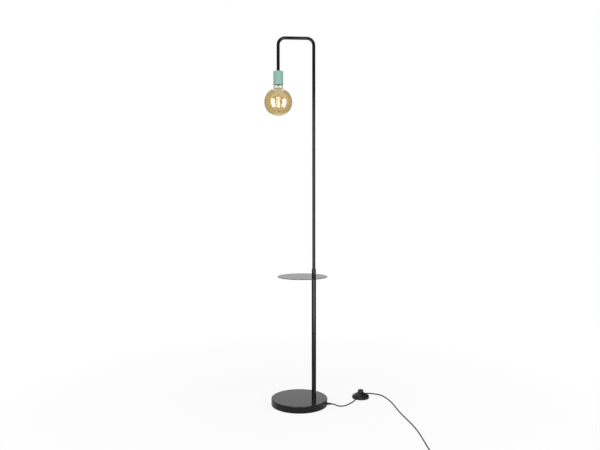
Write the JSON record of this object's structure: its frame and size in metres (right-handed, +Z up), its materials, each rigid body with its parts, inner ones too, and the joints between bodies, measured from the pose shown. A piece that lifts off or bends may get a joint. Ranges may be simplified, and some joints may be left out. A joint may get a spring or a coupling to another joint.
{
  "type": "shelf floor lamp",
  "caption": "Slim black floor lamp with a heavy round base, a round shelf on its pole, a bent arm, a mint socket with a bare amber globe bulb, and a mains lead with a foot switch.",
  "frame": {"origin": "middle of the base on the floor, at the underside of the felt pad", "axes": "+Z up along the pole; the pole stands on the +X side of the base and the arm reaches to -X; -Y faces the viewer in the picture"},
  "size_m": [0.5917, 0.8058, 1.622],
  "materials": {
    "black_coat": "satin",
    "mint_coat": "satin",
    "cement": "matte",
    "felt": "matte",
    "zinc_steel": "satin",
    "holder_plastic": "satin",
    "brass": "satin",
    "amber_glass": "gloss",
    "clear_glass": "gloss",
    "cap_nickel": "satin",
    "black_glass": "gloss",
    "filament_coat": "matte",
    "nickel_wire": "satin",
    "lead_sheath": "satin",
    "core_copper": "matte",
    "boot_rubber": "matte",
    "switch_plastic": "satin",
    "nylon": "matte",
    "tie_strap": "matte"
  },
  "bodies": {
    "stand": {"base_cover": "black_coat", "lower_pole": "black_coat", "shelf": "black_coat", "shelf_collar": "black_coat", "upper_pole": "black_coat", "socket_cover": "mint_coat", "base_weight": "cement", "base_pad": "felt", "base_rod": "zinc_steel", "base_washer": "zinc_steel", "base_nut": "zinc_steel", "lower_pole_foot_bush": "zinc_steel", "lower_pole_top_bush": "zinc_steel", "shelf_rod": "zinc_steel", "arm_end_bush": "zinc_steel", "socket_rod": "zinc_steel", "switch_screws": "zinc_steel", "terminal_screws": "zinc_steel", "holder_cap": "holder_plastic", "holder_skirt": "holder_plastic", "contact_carrier": "holder_plastic", "thread_shell": "brass", "centre_contact": "brass", "terminals": "brass", "plug_pins": "nickel_wire", "inner_lead": "lead_sheath", "lead_base_to_switch": "lead_sheath", "lead_switch_to_coil": "lead_sheath", "lead_coil": "lead_sheath", "holder_cores": "core_copper", "switch_cores": "core_copper", "base_boot": "boot_rubber", "switch_feet": "boot_rubber", "switch_base": "switch_plastic", "switch_cover": "switch_plastic", "plug_body": "switch_plastic", "switch_block": "nylon", "coil_tie": "tie_strap"},
    "button": {"switch_button": "switch_plastic", "switch_plunger": "nylon"},
    "bulb_tip_end": {"bulb_tip": "cap_nickel"},
    "bulb": {"bulb_glass": "amber_glass", "bulb_cap": "cap_nickel", "bulb_insulator": "black_glass", "bulb_stem": "clear_glass", "filaments": "filament_coat", "filament_wires": "nickel_wire"}
  },
  "joints": [
    {"name": "foot_button_press", "type": "slide", "parent": "stand", "child": "button", "axis": [0, 0, -1], "range_m": [0, 0.004], "stiffness_N_per_m": 1500, "springref_m": -0.004},
    {"name": "bulb_drop", "type": "slide", "parent": "stand", "child": "bulb_tip_end", "axis": [0, 0, -1], "range_m": [0, 0.01452]},
    {"name": "bulb_turn", "type": "hinge", "parent": "bulb_tip_end", "child": "bulb", "pos_m": [-0.0905, 0, 1.4], "axis": [0, 0, -1], "range_deg": [0, 1440]}
  ],
  "couplings": [
    {"joint": "bulb_drop", "follows": "bulb_turn", "m_per_rad": 0.00057757}
  ]
}
